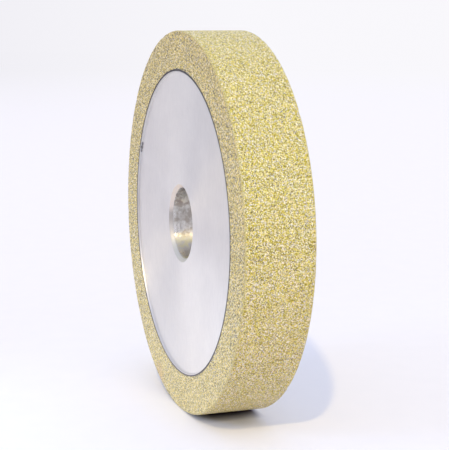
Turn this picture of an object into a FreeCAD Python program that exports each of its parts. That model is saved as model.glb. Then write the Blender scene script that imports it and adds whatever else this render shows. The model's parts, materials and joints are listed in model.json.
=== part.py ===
"""Diamond grinding wheel: an aluminium core, an abrasive ring and the bond between them.

Row frame: millimetres, +Z up, origin at the wheel's centre, the wheel turns about +Y.
The front face looks towards -Y. The wheel is the same on both faces.
"""
import FreeCAD, Part
import os

# Whole wheel
WHEEL_DIAMETER = 150.0
WHEEL_WIDTH = 26.6

# Abrasive ring: one continuous rim, worn slightly round on its two outer edges
ABRASIVE_DEPTH = 15.0
ABRASIVE_EDGE_RADIUS = 0.5

# Bond line between the ring and the core, filled almost flush with both faces
BOND_THICKNESS = 0.5
BOND_SET_BACK = 0.1

# Aluminium core: both faces are turned back, which leaves a narrow lip at the rim
FACE_RELIEF = 0.8
LIP_WIDTH = 0.3
RELIEF_FILLET = 0.6
BORE_DIAMETER = 28.0
BORE_CHAMFER = 1.35

# Sizes that follow from the ones above
WHEEL_RADIUS = WHEEL_DIAMETER / 2
HALF_WIDTH = WHEEL_WIDTH / 2
RING_INNER_RADIUS = WHEEL_RADIUS - ABRASIVE_DEPTH
CORE_RADIUS = RING_INNER_RADIUS - BOND_THICKNESS
RELIEF_RADIUS = CORE_RADIUS - LIP_WIDTH
CORE_FACE = HALF_WIDTH - FACE_RELIEF
BORE_RADIUS = BORE_DIAMETER / 2

# A quarter turn's midpoint, as a share of its radius, measured from the arc's centre
ARC_MIDDLE = 0.5 ** 0.5

AXIS_POINT = FreeCAD.Vector(0, 0, 0)
AXIS = FreeCAD.Vector(0, 1, 0)


def at(radius, y):
    """A point of a turned profile: its radius, and its place along the wheel's axis."""
    return FreeCAD.Vector(radius, y, 0)


def line(start, end):
    return Part.LineSegment(start, end).toShape()


def quarter_arc(start, centre, corner, end):
    """The arc of a rounded corner, bulging towards the sharp corner that it replaces."""
    middle = centre + (corner - centre) * ARC_MIDDLE
    return Part.Arc(start, middle, end).toShape()


def turned(edges):
    """The solid that a closed profile sweeps in one full turn about the wheel's axis."""
    return Part.Face(Part.Wire(edges)).revolve(AXIS_POINT, AXIS, 360)


def core_face(side):
    """Profile of one face of the core, from the bore outwards; side is -1 front, 1 back."""
    face_y = side * CORE_FACE
    lip_y = side * HALF_WIDTH
    foot_radius = RELIEF_RADIUS - RELIEF_FILLET
    foot_y = face_y + side * RELIEF_FILLET
    chamfer_inner = at(BORE_RADIUS, face_y - side * BORE_CHAMFER)
    chamfer_outer = at(BORE_RADIUS + BORE_CHAMFER, face_y)
    foot_start = at(foot_radius, face_y)
    foot_end = at(RELIEF_RADIUS, foot_y)
    lip_inner = at(RELIEF_RADIUS, lip_y)
    lip_outer = at(CORE_RADIUS, lip_y)
    return [
        line(chamfer_inner, chamfer_outer),
        line(chamfer_outer, foot_start),
        quarter_arc(foot_start, at(foot_radius, foot_y), at(RELIEF_RADIUS, face_y), foot_end),
        line(foot_end, lip_inner),
        line(lip_inner, lip_outer),
    ]


def aluminium_core():
    """Turned hub: chamfered bore, two relieved clamping faces and a plain rim."""
    bore_end = CORE_FACE - BORE_CHAMFER
    bore_wall = line(at(BORE_RADIUS, -bore_end), at(BORE_RADIUS, bore_end))
    rim = line(at(CORE_RADIUS, -HALF_WIDTH), at(CORE_RADIUS, HALF_WIDTH))
    back_face = core_face(1)
    front_face = core_face(-1)
    return turned([bore_wall] + back_face + [rim] + front_face[::-1])


def bond_layer():
    """Thin sleeve of set adhesive that fills the joint between the core and the ring."""
    end = HALF_WIDTH - BOND_SET_BACK
    front_inner = at(CORE_RADIUS, -end)
    front_outer = at(RING_INNER_RADIUS, -end)
    back_inner = at(CORE_RADIUS, end)
    back_outer = at(RING_INNER_RADIUS, end)
    return turned([
        line(front_inner, front_outer),
        line(front_outer, back_outer),
        line(back_outer, back_inner),
        line(back_inner, front_inner),
    ])


def abrasive_ring():
    """Bonded diamond rim: a square section with its two outer edges slightly rounded."""
    edge = ABRASIVE_EDGE_RADIUS
    front_inner = at(RING_INNER_RADIUS, -HALF_WIDTH)
    front_round = at(WHEEL_RADIUS - edge, -HALF_WIDTH)
    tread_front = at(WHEEL_RADIUS, edge - HALF_WIDTH)
    tread_back = at(WHEEL_RADIUS, HALF_WIDTH - edge)
    back_round = at(WHEEL_RADIUS - edge, HALF_WIDTH)
    back_inner = at(RING_INNER_RADIUS, HALF_WIDTH)
    front_centre = at(WHEEL_RADIUS - edge, edge - HALF_WIDTH)
    back_centre = at(WHEEL_RADIUS - edge, HALF_WIDTH - edge)
    return turned([
        line(front_inner, front_round),
        quarter_arc(front_round, front_centre, at(WHEEL_RADIUS, -HALF_WIDTH), tread_front),
        line(tread_front, tread_back),
        quarter_arc(tread_back, back_centre, at(WHEEL_RADIUS, HALF_WIDTH), back_round),
        line(back_round, back_inner),
        line(back_inner, front_inner),
    ])


os.makedirs("parts", exist_ok=True)
SUB_PARTS = {
    "aluminium_core": aluminium_core,
    "bond_layer": bond_layer,
    "abrasive_ring": abrasive_ring,
}
for name, make in SUB_PARTS.items():
    shape = make()
    shape.exportStep("parts/" + name + ".step")
    size = shape.optimalBoundingBox()
    print(name, shape.ShapeType, "valid", shape.isValid(), "volume_mm3", round(shape.Volume),
          "size", round(size.XLength, 2), round(size.YLength, 2), round(size.ZLength, 2))
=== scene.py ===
"""Looks of the diamond grinding wheel: gritty abrasive ring, turned aluminium core, bond line.

Metres, in the wheel's own frame: it turns about Y, its front face looks towards -Y, +Z is up.
"""
import json
import math

import bpy
import numpy as np
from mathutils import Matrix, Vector


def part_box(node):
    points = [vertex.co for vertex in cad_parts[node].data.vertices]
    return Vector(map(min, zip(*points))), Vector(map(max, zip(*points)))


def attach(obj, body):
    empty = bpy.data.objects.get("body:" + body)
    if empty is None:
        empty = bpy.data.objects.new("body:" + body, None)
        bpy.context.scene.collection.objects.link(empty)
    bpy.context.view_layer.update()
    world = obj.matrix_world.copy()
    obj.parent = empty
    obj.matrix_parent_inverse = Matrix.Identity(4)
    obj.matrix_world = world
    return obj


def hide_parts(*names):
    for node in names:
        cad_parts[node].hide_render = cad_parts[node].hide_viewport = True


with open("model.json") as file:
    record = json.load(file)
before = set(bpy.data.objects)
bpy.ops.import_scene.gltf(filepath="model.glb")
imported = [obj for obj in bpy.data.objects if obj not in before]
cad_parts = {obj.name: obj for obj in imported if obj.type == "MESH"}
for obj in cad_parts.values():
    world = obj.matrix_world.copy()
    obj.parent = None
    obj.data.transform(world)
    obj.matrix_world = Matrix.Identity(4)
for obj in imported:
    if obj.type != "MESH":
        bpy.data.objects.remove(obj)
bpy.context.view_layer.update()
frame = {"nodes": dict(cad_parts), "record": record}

MM = 0.001
TURN = 2 * math.pi
random = np.random.default_rng(7)


# ---------------------------------------------------------------- sizes read from the frame

def radii(node):
    """Smallest and largest distance of a CAD node's vertices from the wheel's axis."""
    reach = [math.hypot(v.co.x, v.co.z) for v in frame["nodes"][node].data.vertices]
    return min(reach), max(reach)


def mount(name):
    """The record's entry for one of the wheel's mounts."""
    return next(m for m in frame["record"]["mounts"] if m["name"] == name)


RING_INNER, WHEEL_RADIUS = radii("abrasive_ring")
BORE_RADIUS, CORE_RADIUS = radii("aluminium_core")
HALF_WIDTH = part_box("abrasive_ring")[1].y
BOND_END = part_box("bond_layer")[1].y
HUB_FACE = mount("clamp_face_back")["pos_m"][1]
BORE_CHAMFER = HUB_FACE - mount("bore")["dims"]["length_mm"] * MM / 2

# Details of the CAD that neither its boxes nor its mounts state
RING_EDGE_RADIUS = 0.5 * MM
LIP_WIDTH = 0.3 * MM
RELIEF_FILLET = 0.6 * MM
RELIEF_RADIUS = CORE_RADIUS - LIP_WIDTH


# ---------------------------------------------------------------- mesh tools

def spaced(start, end, pitch):
    """Points from start to end, end left out, about one pitch apart."""
    start, end = Vector(start), Vector(end)
    count = max(1, round((end - start).length / pitch))
    return [tuple(start.lerp(end, i / count)) for i in range(count)]


def arc(centre, radius, start_deg, end_deg, steps):
    """Points along an arc of a profile, its last point left out."""
    angles = [math.radians(start_deg + (end_deg - start_deg) * i / steps) for i in range(steps)]
    return [(centre[0] + radius * math.cos(a), centre[1] + radius * math.sin(a)) for a in angles]


def mirrored(profile):
    """The back half of a symmetrical profile, from its front half."""
    return [(r, -y) for r, y in reversed(profile)]


def outward(profile):
    """Unit normals of a closed anticlockwise profile of (radius, y) points."""
    p = np.array(profile)
    along = np.roll(p, -1, axis=0) - np.roll(p, 1, axis=0)
    normal = np.column_stack([along[:, 1], -along[:, 0]])
    return normal / np.linalg.norm(normal, axis=1, keepdims=True)


def placed(name, data):
    """A new object in the scene."""
    thing = bpy.data.objects.new(name, data)
    bpy.context.scene.collection.objects.link(thing)
    return thing


def mesh_piece(name, points, faces):
    """A smooth-shaded mesh object."""
    mesh = bpy.data.meshes.new(name)
    mesh.from_pydata(points, [], faces)
    mesh.validate()
    mesh.shade_smooth()
    return placed(name, mesh)


def turned(name, radius, y, angle):
    """Mesh object from grids of cylindrical coordinates: columns round the axis, rows along a
    closed profile."""
    columns, rows = radius.shape
    points = np.stack([radius * np.cos(angle), y, radius * np.sin(angle)], axis=-1)
    c, r = np.meshgrid(np.arange(columns), np.arange(rows), indexing="ij")
    c_next, r_next = (c + 1) % columns, (r + 1) % rows
    corners = [c * rows + r, c * rows + r_next, c_next * rows + r_next, c_next * rows + r]
    faces = np.stack(corners, axis=-1).reshape(-1, 4).tolist()
    return mesh_piece(name, points.reshape(-1, 3), faces)


def column_angles(columns, rows):
    """The angle round the axis of every point of such a grid."""
    return np.repeat(np.arange(columns)[:, None] * TURN / columns, rows, axis=1)


def store(piece, name, values):
    """Keeps one number for each vertex, for the piece's material to read."""
    attribute = piece.data.attributes.new(name, "FLOAT", "POINT")
    attribute.data.foreach_set("value", np.asarray(values, np.float32).ravel())


# A bell curve's width at half its height, in standard deviations
BELL_WIDTH = 2.4


def smooth_noise(shape, blur):
    """Seamless random field, about -1 to 1, whose lumps are about blur cells across."""
    across, along = np.meshgrid(*[np.fft.fftfreq(n) for n in shape], indexing="ij")
    keep = np.exp(-0.5 * (TURN * blur / BELL_WIDTH) ** 2 * (across ** 2 + along ** 2))
    field = np.fft.ifft2(np.fft.fft2(random.standard_normal(shape)) * keep).real
    return field / (2 * field.std())


def finish_piece(piece, node, material):
    """Gives a piece its material and its body, and hides the CAD node that it stands for."""
    piece.data.materials.append(material)
    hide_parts(node)
    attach(piece, "root")


# ---------------------------------------------------------------- material tools

class Shader:
    """A material's node tree, built with short calls."""

    def __init__(self, name):
        self.material = bpy.data.materials.new(name)
        self.material.use_nodes = True
        self.tree = self.material.node_tree
        self.bsdf = self.tree.nodes["Principled BSDF"]
        self.where = self.add("ShaderNodeTexCoord").outputs["Object"]

    def add(self, kind, settings=None, **inputs):
        node = self.tree.nodes.new(kind)
        for key, value in (settings or {}).items():
            setattr(node, key, value)
        for key, value in inputs.items():
            self.give(node.inputs[key.replace("_", " ")], value)
        return node

    def give(self, socket, value):
        if isinstance(value, bpy.types.NodeSocket):
            self.tree.links.new(value, socket)
        else:
            socket.default_value = value

    def set(self, **inputs):
        for key, value in inputs.items():
            self.give(self.bsdf.inputs[key.replace("_", " ")], value)

    def math(self, operation, a, b=0.0):
        node = self.add("ShaderNodeMath", {"operation": operation})
        self.give(node.inputs[0], a)
        self.give(node.inputs[1], b)
        return node.outputs[0]

    def spread(self, value, low, high, to_low=0.0, to_high=1.0):
        """Maps low..high to to_low..to_high, and holds the ends."""
        node = self.add("ShaderNodeMapRange", Value=value, From_Min=low, From_Max=high,
                        To_Min=to_low, To_Max=to_high)
        return node.outputs["Result"]

    def mix(self, share, a, b, blend="MIX"):
        """Goes from colour a to b as share goes from 0 to 1."""
        node = self.add("ShaderNodeMix", {"data_type": "RGBA", "blend_type": blend})
        self.give(node.inputs["Factor"], share)
        # The node has a set of sockets for each type of value: these are the colours' ones
        self.give(node.inputs[6], a)
        self.give(node.inputs[7], b)
        return node.outputs[2]

    def noise(self, size, detail=2.0, roughness=0.5, where=None):
        """Cloudy values about 0.5, in lumps of about that size."""
        return self.add("ShaderNodeTexNoise", Vector=where or self.where, Scale=1 / size,
                        Detail=detail, Roughness=roughness).outputs["Fac"]

    def cells(self, per_metre):
        """Grains, so many to the metre: two random values for each, the distance to its middle, and a
        random colour whose parts can serve as a direction."""
        node = self.add("ShaderNodeTexVoronoi", Vector=self.where, Scale=per_metre)
        colour, distance = node.outputs["Color"], node.outputs["Distance"]
        split = self.add("ShaderNodeSeparateColor", Color=colour)
        return split.outputs["Red"], split.outputs["Green"], distance, colour

    def ramp(self, value, stops, steps=False):
        """Colours by value, blended between their places or each held up to the next one's."""
        node = self.add("ShaderNodeValToRGB", Fac=value)
        node.color_ramp.interpolation = "CONSTANT" if steps else "LINEAR"
        while len(node.color_ramp.elements) < len(stops):
            node.color_ramp.elements.new(0.5)
        for element, (place, colour) in zip(node.color_ramp.elements, stops):
            element.position = place
            element.color = (*colour, 1)
        return node.outputs["Color"]

    def shaded(self, colour, value, low, high, darkest):
        """The colour, down to that share of its brightness where value is low."""
        shades = self.ramp(value, [(low, (darkest,) * 3), (high, (1.0,) * 3)])
        return self.mix(1.0, colour, shades, "MULTIPLY")

    def bump(self, height, depth, before=None):
        """The normal of a surface that is depth high where height is 1."""
        node = self.add("ShaderNodeBump", Height=height, Distance=depth)
        if before is not None:
            self.give(node.inputs["Normal"], before)
        return node.outputs["Normal"]

    def facets(self, facing, strength):
        """Surface normal tilted a different way on every grain."""
        tilt = self.add("ShaderNodeVectorMath", {"operation": "SUBTRACT"})
        self.give(tilt.inputs[0], facing)
        tilt.inputs[1].default_value = (0.5, 0.5, 0.5)
        tilted = self.add("ShaderNodeVectorMath", {"operation": "MULTIPLY_ADD"})
        self.give(tilted.inputs[0], tilt.outputs["Vector"])
        tilted.inputs[1].default_value = (strength, strength, strength)
        self.give(tilted.inputs[2], self.add("ShaderNodeNewGeometry").outputs["Normal"])
        unit = self.add("ShaderNodeVectorMath", {"operation": "NORMALIZE"})
        self.give(unit.inputs[0], tilted.outputs["Vector"])
        return unit.outputs["Vector"]

    def attribute(self, name):
        return self.add("ShaderNodeAttribute", {"attribute_name": name}).outputs["Fac"]

    def place(self):
        """The X, Y and Z of the point that is shaded, in the wheel's frame."""
        split = self.add("ShaderNodeSeparateXYZ", Vector=self.where)
        return [split.outputs[axis] for axis in ("X", "Y", "Z")]

    def from_axis(self):
        """Distance of the shaded point from the wheel's axis."""
        x, _, z = self.place()
        squares = [self.math("MULTIPLY", across, across) for across in (x, z)]
        return self.math("SQRT", self.math("ADD", *squares))

    def near(self, point, reach, softness):
        """1 within reach of a point on the wheel, falling to 0 over softness."""
        gap = self.add("ShaderNodeVectorMath", {"operation": "DISTANCE"})
        self.give(gap.inputs[0], self.where)
        self.give(gap.inputs[1], point)
        return self.spread(gap.outputs["Value"], reach, reach + softness, 1.0, 0.0)


def on_face(radius, angle_deg, y):
    """A point of the wheel at an angle from +X towards +Z."""
    angle = math.radians(angle_deg)
    return (radius * math.cos(angle), y, radius * math.sin(angle))


# ---------------------------------------------------------------- abrasive ring

GRAIN_PITCH = 0.56 * MM
GRAIN_RELIEF = 0.035 * MM
RING_COLUMNS = 840
UV_BLOCKS = 3

# How far a grain strays from its place, as a share of the pitch
GRAIN_WANDER = 0.62

# The higher this is, the fewer of the grains lie deep
PIT_RARITY = 2.2

# Sizes of the grains that only the material has, and of the patches that share a tint
FACE_GRAIN = 0.33 * MM
TREAD_GRAIN = 0.225 * MM
FINE_GRAIN = 0.17 * MM
TINT_PATCH = 0.35 * MM


def ring_profile():
    """Front half of the ring's section: inner edge, front face, rounded edge, half the tread."""
    corner = (WHEEL_RADIUS - RING_EDGE_RADIUS, RING_EDGE_RADIUS - HALF_WIDTH)
    half = spaced((RING_INNER, -HALF_WIDTH), (corner[0], -HALF_WIDTH), GRAIN_PITCH)
    half += arc(corner, RING_EDGE_RADIUS, -90, 0, 2)
    half += spaced((WHEEL_RADIUS, corner[1]), (WHEEL_RADIUS, 0), GRAIN_PITCH)
    return half


def chips(distance, reach, depth, field):
    """Small breaks along an edge: how deep each point near it is knocked back."""
    near = np.clip(1 - distance / reach, 0, 1)
    broken = np.clip((field - 0.55) / 0.6, 0, 1)
    return depth * near * broken


def ring_layout(piece, columns, rows, profile):
    """Texture layout: the ring's outside cut into equal lengths that are laid one above another.
    The hidden inner wall gets a sliver."""
    p = np.array(profile)
    run = np.linalg.norm(np.roll(p, -1, axis=0) - p, axis=1)
    run[-1] = run[:-1].max()
    place = np.concatenate([[0.0], np.cumsum(run)]) / run.sum()
    block = columns // UV_BLOCKS
    column = np.arange(columns)
    start = (column % block) / block
    base = (column // block)[:, None]
    margin = 0.01

    def inset(share):
        return margin + (1 - 2 * margin) * share

    low_v = (base + inset(place[:-1])[None, :]) / UV_BLOCKS
    high_v = (base + inset(place[1:])[None, :]) / UV_BLOCKS
    low_u = np.repeat(inset(start)[:, None], rows, axis=1)
    high_u = np.repeat(inset(start + 1 / block)[:, None], rows, axis=1)
    corners = [(low_u, low_v), (low_u, high_v), (high_u, high_v), (high_u, low_v)]
    places = np.stack([np.stack(corner, axis=-1) for corner in corners], axis=2)
    layer = piece.data.uv_layers.new(name="OFBake")
    layer.data.foreach_set("uv", places.reshape(-1).astype(np.float32))


def ring_depth(shape, outer_edge, inner_edge):
    """How deep each vertex lies. Every one is a grain: most stand at the trued surface, some have
    torn out and left a pit, and along the edges small breaks have taken more."""
    depth = GRAIN_RELIEF * random.random(shape) ** PIT_RARITY
    depth = depth + chips(outer_edge, 1.0 * MM, 0.25 * MM, smooth_noise(shape, 3))
    return depth + chips(inner_edge, 0.6 * MM, 0.10 * MM, smooth_noise(shape, 3))


def make_ring():
    front = ring_profile()
    profile = front + [(WHEEL_RADIUS, 0.0)] + mirrored(front)
    columns, rows = RING_COLUMNS, len(profile)
    shape = (columns, rows)
    p, normal = np.array(profile), outward(profile)
    from_face = np.abs(p[:, 1]) - HALF_WIDTH
    outer_edge = np.hypot(p[:, 0] - WHEEL_RADIUS, from_face)[None, :]
    inner_edge = np.hypot(p[:, 0] - RING_INNER, from_face)[None, :]
    depth = ring_depth(shape, outer_edge, inner_edge)
    radius = p[None, :, 0] - normal[None, :, 0] * depth
    y = p[None, :, 1] - normal[None, :, 1] * depth

    # Grains sit unevenly, so rows and columns wander, but never across an edge
    loose = (outer_edge > 0.8 * MM) & (inner_edge > 0.5 * MM)
    along = np.column_stack([-normal[:, 1], normal[:, 0]])
    wander = (random.random(shape) - 0.5) * GRAIN_WANDER * GRAIN_PITCH * loose
    radius = radius + along[None, :, 0] * wander
    y = y + along[None, :, 1] * wander
    angle = column_angles(columns, rows)
    angle = angle + (random.random(shape) - 0.5) * GRAIN_WANDER * TURN / columns * loose

    # Behind the faces the ring's inner wall meets the bond, so both edge rows stay on it
    radius[:, 0] = RING_INNER
    radius[:, -1] = RING_INNER
    radius = np.clip(radius, RING_INNER, WHEEL_RADIUS)
    y = np.clip(y, -HALF_WIDTH, HALF_WIDTH)

    piece = turned("abrasive_ring_grit", radius, y, angle)
    tread = np.clip((p[:, 0] - (WHEEL_RADIUS - RING_EDGE_RADIUS)) / RING_EDGE_RADIUS, 0, 1)
    store(piece, "tread", np.repeat(tread[None, :], columns, axis=0))
    ring_layout(piece, columns, rows, profile)
    finish_piece(piece, "abrasive_ring", abrasive_material())


def grain_colours(s, tread, kind):
    """From torn-out pits and brown bond, through yellow diamond, to pale filler."""
    tread_grains = s.ramp(kind, [
        (0.00, (0.05, 0.04, 0.00)),
        (0.15, (0.38, 0.31, 0.01)),
        (0.33, (0.66, 0.56, 0.04)),
        (0.53, (0.90, 0.80, 0.13)),
        (0.71, (0.99, 0.93, 0.52)),
        (0.83, (1.00, 1.00, 1.00)),
    ], steps=True)
    face_grains = s.ramp(kind, [
        (0.00, (0.02, 0.015, 0.00)),
        (0.22, (0.34, 0.26, 0.02)),
        (0.37, (0.66, 0.54, 0.12)),
        (0.53, (0.95, 0.81, 0.28)),
        (0.70, (1.00, 0.90, 0.52)),
        (0.83, (1.00, 0.98, 0.88)),
    ], steps=True)
    return s.mix(tread, face_grains, tread_grains)


def tinted(s, grains):
    """Some grains, and pairs of them, are richer, paler, more orange or greener than the rest."""
    shade, hue, _, _ = s.cells(1 / TINT_PATCH)
    grains = s.mix(s.spread(shade, 0.6, 1.0, 0.0, 0.8), grains, (0.97, 0.90, 0.35, 1), "MULTIPLY")
    grains = s.mix(s.spread(shade, 0.3, 0.0, 0.0, 0.3), grains, (1.0, 0.94, 0.86, 1))
    grains = s.mix(s.spread(hue, 0.6, 1.0, 0.0, 0.8), grains, (1.0, 0.88, 0.70, 1), "MULTIPLY")
    return s.mix(s.spread(hue, 0.2, 0.0, 0.0, 0.6), grains, (0.92, 1.0, 0.80, 1), "MULTIPLY")


def painted_low_shade_light_and_stain(s, grains, tread, height, low_shade_pick):
    """Painted shade low on the tread, painted light low on the faces, and a rust-coloured stain."""
    # Painted shade: many grains in the lower part of the tread are darkened and browned
    share = s.math("MULTIPLY", s.spread(height, 25 * MM, -40 * MM), s.spread(low_shade_pick, 0.3, 0.4))
    tread_painted_shade = s.mix(share, grains, (0.91, 0.80, 0.87, 1), "MULTIPLY")

    # Painted light from the floor: on the faces the lowest grains are paler and smoother; all of them
    # are also a little warmer
    faces_painted_floor_light = s.mix(s.spread(height, -30 * MM, -55 * MM, 0.0, 0.28), grains, (0.78, 0.66, 0.32, 1))
    faces_painted_floor_light = s.mix(1.0, faces_painted_floor_light, (0.98, 0.93, 0.83, 1), "MULTIPLY")
    grains = s.mix(tread, faces_painted_floor_light, tread_painted_shade)

    # A rust-coloured handling stain low on the front face
    stain = s.near(on_face(WHEEL_RADIUS - 1.5 * MM, -112, -HALF_WIDTH), 2 * MM, 5 * MM)
    return s.mix(s.math("MULTIPLY", stain, 0.35), grains, (0.72, 0.42, 0.20, 1))


def darkened_at_bond(s, grains, height):
    """Squeezed-out adhesive on the grains next to the bond, fainter at the foot of the wheel."""
    reach = s.spread(s.noise(2 * MM), 0.3, 0.7, 0.10 * MM, 0.42 * MM)
    from_bond = s.math("SUBTRACT", s.from_axis(), RING_INNER)
    beyond = s.math("SUBTRACT", from_bond, reach)
    strength = s.spread(height, -58 * MM, -45 * MM, 0.35, 1.0)
    squeezed = s.math("MULTIPLY", strength, s.spread(beyond, 0.0, 0.08 * MM, 0.9, 0.0))
    return s.mix(squeezed, grains, (0.04, 0.033, 0.04, 1))


def abrasive_material():
    """Yellow diamond and white filler grains in a tan bond, dark where a grain has torn out."""
    s = Shader("diamond_abrasive")
    height = s.place()[2]
    tread = s.attribute("tread")
    per_metre = s.spread(tread, 0.0, 1.0, 1 / FACE_GRAIN, 1 / TREAD_GRAIN)
    # Each grain's second random value picks the grains of the lower tread that get painted shade
    kind, low_shade_pick, middle, facing = s.cells(per_metre)
    fine_kind, fine_shade, fine_middle, _ = s.cells(1 / FINE_GRAIN)

    grains = grain_colours(s, tread, kind)
    grains = s.shaded(grains, fine_shade, 0.0, 0.6, 0.80)
    grains = tinted(s, grains)
    grains = painted_low_shade_light_and_stain(s, grains, tread, height, low_shade_pick)
    grains = darkened_at_bond(s, grains, height)

    facets = s.bump(middle, 0.03 * MM, s.facets(facing, 1.15))
    facets = s.bump(fine_middle, 0.02 * MM, facets)
    rough = s.spread(fine_kind, 0.3, 1.0, 0.22, 0.8)
    s.set(Base_Color=grains, Roughness=rough, Normal=facets, Specular_IOR_Level=0.6)
    return s.material


# ---------------------------------------------------------------- aluminium core

CORE_COLUMNS = 192
TOOL_MARK_PITCH = 0.42 * MM
TOOL_MARK_DEPTH = 0.0022 * MM
CHAMFER_END = BORE_RADIUS + BORE_CHAMFER

# Small breaks of two sharp edges: from the relief's wall to the lip, and from the lip to the rim
LIP_BREAK = 0.06 * MM
RIM_BREAK = 0.02 * MM

# Points this close on both sides of the bore's edge keep the shading from running round it
CRISP_EDGE = 0.04 * MM

# Dirty patches of the bore: degrees from +X towards +Z, depth below the front face, added dirt
BORE_PATCHES = ((138, 3.0 * MM, 0.12), (168, 6.5 * MM, 0.20), (222, 6.5 * MM, 0.08))


def core_profile():
    """Front half of the core's section, from the middle of the bore out to the middle of its rim.
    The face is a row of shallow tool marks: every second point lies a little deeper."""
    bore_end = HUB_FACE - BORE_CHAMFER
    foot = RELIEF_RADIUS - RELIEF_FILLET
    bore = spaced((BORE_RADIUS, 0), (BORE_RADIUS, CRISP_EDGE - bore_end), 1.0 * MM)
    bore += [(BORE_RADIUS, CRISP_EDGE - bore_end), (BORE_RADIUS, -bore_end)]
    chamfer_start = (BORE_RADIUS + CRISP_EDGE, -bore_end - CRISP_EDGE)
    chamfer = spaced(chamfer_start, (CHAMFER_END, -HUB_FACE), 0.35 * MM)
    face = spaced((CHAMFER_END, -HUB_FACE), (foot, -HUB_FACE), TOOL_MARK_PITCH / 2)
    face = [(r, y + TOOL_MARK_DEPTH * (i % 2)) for i, (r, y) in enumerate(face)]
    fillet = arc((foot, -HUB_FACE - RELIEF_FILLET), RELIEF_FILLET, 90, 0, 8)
    wall = [(RELIEF_RADIUS, -HUB_FACE - RELIEF_FILLET), (RELIEF_RADIUS, LIP_BREAK - HALF_WIDTH)]
    lip = [(RELIEF_RADIUS + LIP_BREAK, -HALF_WIDTH), (CORE_RADIUS - RIM_BREAK, -HALF_WIDTH)]
    rim = [(CORE_RADIUS, RIM_BREAK - HALF_WIDTH)]
    return bore + chamfer + face + fillet + wall + lip + rim


def make_core():
    front = core_profile()
    profile = front + mirrored(front)[:-1]
    columns, rows = CORE_COLUMNS, len(profile)
    p = np.array(profile)
    radius = np.repeat(p[None, :, 0], columns, axis=0)
    y = np.repeat(p[None, :, 1], columns, axis=0)

    # The chamfer was broken by hand, so its outer edge wanders a little
    chamfer_edge = np.abs(p[:, 0] - CHAMFER_END) < 0.1 * MM
    wander = 0.07 * MM * smooth_noise((columns, 1), 6)
    radius = radius + wander * chamfer_edge[None, :]

    piece = turned("turned_aluminium_core", radius, y, column_angles(columns, rows))
    finish_piece(piece, "aluminium_core", aluminium_material())


def face_colour(s, blotch, wipes, rings):
    """Pale metal in soft blotches, a little darker along wipe marks and turning rings."""
    face = s.mix(s.spread(blotch, 0.35, 0.65), (0.925, 0.905, 0.865, 1), (0.972, 0.952, 0.907, 1))
    face = s.shaded(face, wipes, 0.3, 0.7, 0.93)
    return s.shaded(face, rings, 0.3, 0.7, 0.97)


def chamfer_painted_reflection(s, height):
    """Painted reflection: light at the top, darkest just above the middle, and lighter again below.
    """
    colour = s.mix(s.spread(height, 2 * MM, 5 * MM), (0.60, 0.57, 0.52, 1), (0.91, 0.82, 0.72, 1))
    colour = s.mix(s.spread(height, 0.0, -3 * MM), colour, (0.76, 0.73, 0.68, 1))
    return s.mix(s.spread(height, -6 * MM, -9 * MM), colour, (0.86, 0.85, 0.76, 1))


def bore_dirt(s):
    """Old coolant has dried in the bore, in clouds and in a few larger patches."""
    dirt = s.noise(4 * MM, detail=4.0, roughness=0.6)
    for angle, depth, share in BORE_PATCHES:
        patch = s.near(on_face(BORE_RADIUS, angle, depth - HUB_FACE), 0.5 * MM, 4.5 * MM)
        dirt = s.math("ADD", dirt, s.math("MULTIPLY", patch, share))
    return dirt


def bore_colour(s, height, dirt):
    """Clean metal, or stains that are brown above, grey in the middle and olive below."""
    stain = s.mix(s.spread(height, 7 * MM, 5 * MM), (0.40, 0.34, 0.31, 1), (0.52, 0.48, 0.43, 1))
    stain = s.mix(s.spread(height, -6 * MM, -8 * MM), stain, (0.82, 0.79, 0.58, 1))
    return s.mix(s.spread(dirt, 0.50, 0.63), (0.735, 0.72, 0.69, 1), stain)


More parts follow.
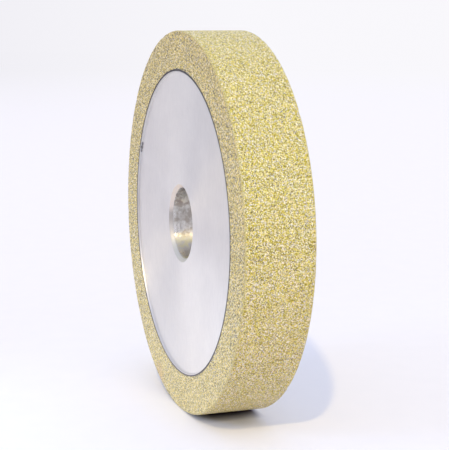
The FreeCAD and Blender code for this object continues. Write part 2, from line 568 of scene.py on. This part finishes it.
def aluminium_material():
    """Turned aluminium: fine rings that stretch reflections, faint wipe marks, a stained bore."""
    s = Shader("turned_aluminium")
    x, y, height = s.place()
    radius = s.from_axis()
    in_bore = s.spread(radius, BORE_RADIUS + 0.02 * MM, BORE_RADIUS + 0.10 * MM, 1.0, 0.0)
    on_chamfer = s.spread(radius, CHAMFER_END - 0.05 * MM, CHAMFER_END + 0.05 * MM, 1.0, 0.0)
    in_corner = s.spread(radius, RELIEF_RADIUS - RELIEF_FILLET, RELIEF_RADIUS - 0.1 * MM)

    # Fine turning rings: noise that changes quickly with the radius and slowly round it
    quick = s.math("MULTIPLY", radius, 60.0)
    ring_place = s.add("ShaderNodeCombineXYZ", X=quick, Y=x, Z=height).outputs["Vector"]
    rings = s.noise(18 * MM, detail=4.0, roughness=0.7, where=ring_place)

    # Up and down wipe marks, left by a cloth or a fine pad, and tool marks along the bore
    wipe_place = s.add("ShaderNodeMapping", Vector=s.where, Scale=(1.0, 1.0, 0.2)).outputs["Vector"]
    wipes = s.noise(0.8 * MM, detail=4.0, roughness=0.7, where=wipe_place)
    bored_place = s.add("ShaderNodeCombineXYZ", Y=y).outputs["Vector"]
    bored = s.noise(0.3 * MM, detail=1.0, where=bored_place)
    blotch = s.noise(16 * MM, detail=3.0, roughness=0.6)
    dirt = bore_dirt(s)

    metal = s.mix(on_chamfer, face_colour(s, blotch, wipes, rings), chamfer_painted_reflection(s, height))
    metal = s.mix(in_bore, metal, bore_colour(s, height, dirt))

    # Painted shade: the wall and fillet of the relief are darker than the face, most of all above
    corner_painted_shade = s.math("MULTIPLY", in_corner, s.spread(height, -30 * MM, -14 * MM, 0.4, 1.0))
    metal = s.mix(corner_painted_shade, metal, (0.70, 0.70, 0.71, 1), "MULTIPLY")

    # Wiped metal varies a little, the chamfer is rougher, the clean metal of the bore smoother
    rough = s.spread(wipes, 0.3, 0.7, 0.34, 0.42)
    smoother_bore = s.math("MULTIPLY", s.spread(dirt, 0.45, 0.60, -0.25, 0.0), in_bore)
    rough = s.math("ADD", rough, s.spread(blotch, 0.3, 0.7, -0.02, 0.03))
    rough = s.math("ADD", rough, s.math("MULTIPLY", on_chamfer, 0.16))
    rough = s.math("ADD", rough, smoother_bore)

    relief = s.bump(rings, 0.004 * MM)
    relief = s.bump(wipes, 0.003 * MM, relief)
    relief = s.bump(s.math("MULTIPLY", bored, in_bore), 0.20 * MM, relief)
    tangent = s.add("ShaderNodeTangent", {"direction_type": "RADIAL", "axis": "Y"}).outputs["Tangent"]
    s.set(Base_Color=metal, Metallic=1.0, Roughness=rough, Normal=relief, Tangent=tangent,
          Anisotropic=0.75, Anisotropic_Rotation=0.25)
    return s.material


# ---------------------------------------------------------------- bond line

BOND_COLUMNS = 720

# The adhesive meets the walls this far below the wheel's faces
BOND_TOP = 0.02 * MM

# Its middle lies this far below the ends of the CAD's bond, and is this uneven
BOND_SAG = 0.03 * MM
BOND_LUMPS = 0.05 * MM

# Halfway up the slope at each wall it is this far from the wall
BOND_SLOPE = 0.10 * MM


def make_bond():
    """Sleeve of adhesive: its visible ends are uneven and creep up the walls on either side."""
    edge = BOND_TOP - HALF_WIDTH
    low = BOND_SAG - BOND_END
    halfway = edge / 2 + low / 2
    front = [(CORE_RADIUS, edge), (CORE_RADIUS + BOND_SLOPE, halfway),
             ((CORE_RADIUS + RING_INNER) / 2, low),
             (RING_INNER - BOND_SLOPE, halfway), (RING_INNER, edge)]
    profile = front + mirrored(front)
    columns, rows = BOND_COLUMNS, len(profile)
    p = np.array(profile)
    radius = np.repeat(p[None, :, 0], columns, axis=0)
    side = np.sign(p[:, 1])[None, :]
    clear = 0.01 * MM
    inside = ((p[:, 0] > CORE_RADIUS + clear) & (p[:, 0] < RING_INNER - clear))[None, :]
    lumps = BOND_LUMPS * np.clip(smooth_noise((columns, rows), 2.5), -1, 1)
    y = p[None, :, 1] - side * np.abs(lumps) * inside
    piece = turned("bond_line", radius, y, column_angles(columns, rows))
    material = adhesive_material("dark_adhesive", (0.018, 0.015, 0.02, 1), (0.04, 0.034, 0.04, 1))
    finish_piece(piece, "bond_layer", material)


def adhesive_material(name, darker, lighter):
    """Set epoxy: dark grey with a little violet, dusted with grit, and lighter low on the wheel."""
    s = Shader(name)
    dust, dust_shade, _, _ = s.cells(1 / (0.3 * MM))
    cloud = s.noise(2.5 * MM, detail=3.0)
    colour = s.mix(s.spread(cloud, 0.35, 0.65), darker, lighter)
    colour = s.mix(s.spread(dust, 0.86, 0.97, 0.0, 0.35), colour, (0.30, 0.26, 0.20, 1))
    low_down = s.spread(s.place()[2], -50 * MM, -58 * MM, 0.0, 0.35)
    colour = s.mix(low_down, colour, (0.33, 0.30, 0.29, 1))
    rough = s.spread(dust_shade, 0.0, 1.0, 0.40, 0.65)
    s.set(Base_Color=colour, Roughness=rough, Normal=s.bump(cloud, 0.05 * MM))
    return s.material


# ---------------------------------------------------------------- adhesive smear

SMEAR_ANGLE = 154.5
SMEAR_HALF_LENGTH = 2.9 * MM
SMEAR_REACH = 0.80 * MM
SMEAR_LIFT = 0.72 * MM
SMEAR_EDGE = 0.02 * MM
SMEAR_STATIONS = 25
SMEAR_STEPS = 8


def smear_section(share):
    """One section of the dab, from the face up to the wall and back to the corner that it fills.
    Share is the place along it, -1 to 1."""
    body = math.sqrt(max(0.0, 1 - share * share)) * (0.8 + 0.2 * math.sin(9 * share + 1))
    angle = SMEAR_ANGLE + math.degrees(share * SMEAR_HALF_LENGTH / RELIEF_RADIUS)
    section = []
    for step in range(SMEAR_STEPS + 1):
        turn = math.pi / 2 * step / SMEAR_STEPS
        inward = (SMEAR_EDGE + SMEAR_REACH * body) * math.cos(turn)
        lift = (SMEAR_EDGE + SMEAR_LIFT * body) * math.sin(turn)
        section.append(on_face(RELIEF_RADIUS - inward, angle, -HUB_FACE - lift))
    section.append(on_face(RELIEF_RADIUS, angle, -HUB_FACE))
    return section


def make_smear():
    """A dab of squeezed-out adhesive that set in the corner of the front relief."""
    shares = [2 * i / (SMEAR_STATIONS - 1) - 1 for i in range(SMEAR_STATIONS)]
    sections = [smear_section(share) for share in shares]
    size = len(sections[0])
    points = [point for section in sections for point in section]
    faces = []
    for station in range(SMEAR_STATIONS - 1):
        here, beyond = station * size, (station + 1) * size
        for j in range(size):
            k = (j + 1) % size
            faces.append((here + j, here + k, beyond + k, beyond + j))
    faces.append(tuple(reversed(range(size))))
    faces.append(tuple(range(len(points) - size, len(points))))
    piece = mesh_piece("adhesive_smear", points, faces)
    material = adhesive_material("thin_adhesive", (0.10, 0.10, 0.105, 1), (0.19, 0.19, 0.2, 1))
    piece.data.materials.append(material)
    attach(piece, "root")


# ---------------------------------------------------------------- stage, light and camera

FLOOR_RADIUS = 6.0

# Angles are in degrees, and the camera's distance is in wheel diameters
CAMERA_AZIMUTH = 71.096
CAMERA_ELEVATION = 8.684
CAMERA_DISTANCE = 3.4801
FIELD_OF_VIEW = 19.39
AIM_OFFSET = Vector((2.03, 5.11, -1.33)) * MM
KEY_AZIMUTH = 61.0
KEY_ELEVATION = 45.0
KEY_WIDTH = 2.0
FILL_PLACE = Vector((0.0, -0.40, 0.08))
FILL_AIM = Vector((0.0, -0.04, -WHEEL_RADIUS))
FILL_CONE = 46.0
FILL_RADIUS = 0.06


def direction(azimuth, elevation):
    """Unit vector from the wheel: azimuth 0 is towards -Y, 90 towards +X."""
    a, e = math.radians(azimuth), math.radians(elevation)
    return Vector((math.sin(a) * math.cos(e), -math.cos(a) * math.cos(e), math.sin(e)))


def aim(thing, back):
    """Turns a lamp or a camera so that its back, its own +Z, is towards a direction."""
    thing.rotation_mode = "QUATERNION"
    thing.rotation_quaternion = back.to_track_quat("Z", "Y")


def graded(tree, value, low, high, dark, light, smooth=False):
    """Colour that runs from dark to light as value runs from low to high."""
    share = tree.nodes.new("ShaderNodeMapRange")
    share.interpolation_type = "SMOOTHSTEP" if smooth else "LINEAR"
    share.inputs["From Min"].default_value = low
    share.inputs["From Max"].default_value = high
    tree.links.new(value, share.inputs["Value"])
    mix = tree.nodes.new("ShaderNodeMix")
    mix.data_type = "RGBA"
    tree.links.new(share.outputs["Result"], mix.inputs["Factor"])
    for socket, colour in ((mix.inputs[6], dark), (mix.inputs[7], light)):
        if isinstance(colour, bpy.types.NodeSocket):
            tree.links.new(colour, socket)
        else:
            socket.default_value = colour
    return mix.outputs[2]


def backdrop(tree, facing):
    """Studio light by direction: a dim gap between the pale backdrop and the light beside the
    camera, bluer overhead."""
    split = tree.nodes.new("ShaderNodeSeparateXYZ")
    tree.links.new(facing, split.inputs[0])
    x, y, z = (split.outputs[i] for i in ("X", "Y", "Z"))
    gap = (0.62, 0.61, 0.70, 1)
    front = graded(tree, y, -0.95, -0.7, (0.85, 0.83, 0.90, 1), gap, smooth=True)
    level = graded(tree, y, -0.6, 0.35, front, (0.945, 0.935, 0.97, 1))
    beside = graded(tree, x, 0.2, 0.8, level, (1.03, 1.02, 1.14, 1), smooth=True)
    overhead = graded(tree, x, -0.2, 0.7, (0.70, 0.745, 0.93, 1), (1.10, 1.16, 1.46, 1), smooth=True)
    return graded(tree, z, 0.10, 0.80, beside, overhead, smooth=True)


def painted_contact_shadow(s, x, y):
    """Painted contact shadow: the floor is darkened where the wheel stands, a little towards +X."""
    along = s.math("ABSOLUTE", s.math("SUBTRACT", x, 8 * MM))
    front = s.spread(y, -HALF_WIDTH, -5 * MM)
    back = s.spread(y, HALF_WIDTH - 1 * MM, HALF_WIDTH + 2 * MM, 1.0, 0.0)
    length = s.spread(along, 5 * MM, 16 * MM, 0.97, 0.0)
    return s.math("MULTIPLY", s.math("MULTIPLY", front, back), length)


def floor_material():
    """A pale, faintly cloudy floor, with painted shade in front of the wheel and a painted contact
    shadow under it.
    """
    s = Shader("pale_floor")
    x, y, _ = s.place()
    fibre = s.noise(12 * MM, detail=4.0)
    colour = s.mix(fibre, (0.885, 0.885, 0.895, 1), (0.915, 0.91, 0.915, 1))
    # Painted shade: beyond the wheel's front the floor is darker
    colour = s.mix(s.spread(y, -0.09, -0.28), colour, (0.60, 0.59, 0.62, 1))
    # Painted contact shadow: near-black floor under the wheel's rim
    colour = s.mix(painted_contact_shadow(s, x, y), colour, (0.05, 0.025, 0.03, 1))
    s.set(Base_Color=colour, Roughness=0.9, Specular_IOR_Level=0.1)

    # Far away the floor runs into the backdrop, so there is no horizon line
    away = s.add("ShaderNodeVectorMath", {"operation": "LENGTH"})
    s.give(away.inputs[0], s.where)
    facing = s.add("ShaderNodeVectorMath", {"operation": "NORMALIZE"})
    s.give(facing.inputs[0], s.where)
    glow = s.add("ShaderNodeEmission", Color=backdrop(s.tree, facing.outputs[0]), Strength=1.0)
    fade = s.add("ShaderNodeMapRange", {"interpolation_type": "SMOOTHSTEP"},
                 Value=away.outputs["Value"], From_Min=0.5, From_Max=4.0)
    mix = s.add("ShaderNodeMixShader", Fac=fade.outputs["Result"])
    s.give(mix.inputs[1], s.bsdf.outputs[0])
    s.give(mix.inputs[2], glow.outputs[0])
    s.give(s.tree.nodes["Material Output"].inputs["Surface"], mix.outputs[0])
    return s.material


def make_floor():
    bpy.ops.mesh.primitive_circle_add(vertices=96, radius=FLOOR_RADIUS, fill_type="NGON",
                                      location=(0, 0, -WHEEL_RADIUS))
    floor = bpy.context.object
    floor.name = "floor"
    floor.data.materials.append(floor_material())


def make_sky():
    """Soft studio light from all round."""
    world = bpy.data.worlds.new("studio")
    bpy.context.scene.world = world
    world.use_nodes = True
    tree = world.node_tree
    where = tree.nodes.new("ShaderNodeTexCoord")
    colour = backdrop(tree, where.outputs["Generated"])
    tree.links.new(colour, tree.nodes["Background"].inputs["Color"])


def make_key():
    """The main lamp, warm and fairly hard, beside the camera and above it."""
    lamp = bpy.data.lights.new("key", "SUN")
    lamp.energy = 1.0
    lamp.color = (1.0, 0.77, 0.32)
    lamp.angle = math.radians(KEY_WIDTH)
    aim(placed("key", lamp), direction(KEY_AZIMUTH, KEY_ELEVATION))


def make_fill():
    """A small cool lamp in front of the wheel, aimed down at its foot."""
    lamp = bpy.data.lights.new("fill", "SPOT")
    lamp.energy = 3.0
    lamp.color = (0.33, 0.52, 1.0)
    lamp.spot_size = math.radians(FILL_CONE)
    lamp.spot_blend = 1.0
    lamp.shadow_soft_size = FILL_RADIUS
    fill = placed("fill", lamp)
    fill.location = FILL_PLACE
    fill.visible_glossy = False
    aim(fill, FILL_PLACE - FILL_AIM)


def make_camera():
    view = bpy.data.cameras.new("camera")
    view.angle = math.radians(FIELD_OF_VIEW)
    view.clip_start, view.clip_end = 0.01, 50
    camera = placed("camera", view)
    away = direction(CAMERA_AZIMUTH, CAMERA_ELEVATION) * CAMERA_DISTANCE * 2 * WHEEL_RADIUS
    camera.location = away
    aim(camera, away - AIM_OFFSET)
    bpy.context.scene.camera = camera


make_camera()
make_ring()
make_core()
make_bond()
make_smear()
make_floor()
make_sky()
make_key()
make_fill()
bpy.context.scene.view_settings.view_transform = "Standard"
bpy.context.view_layer.update()
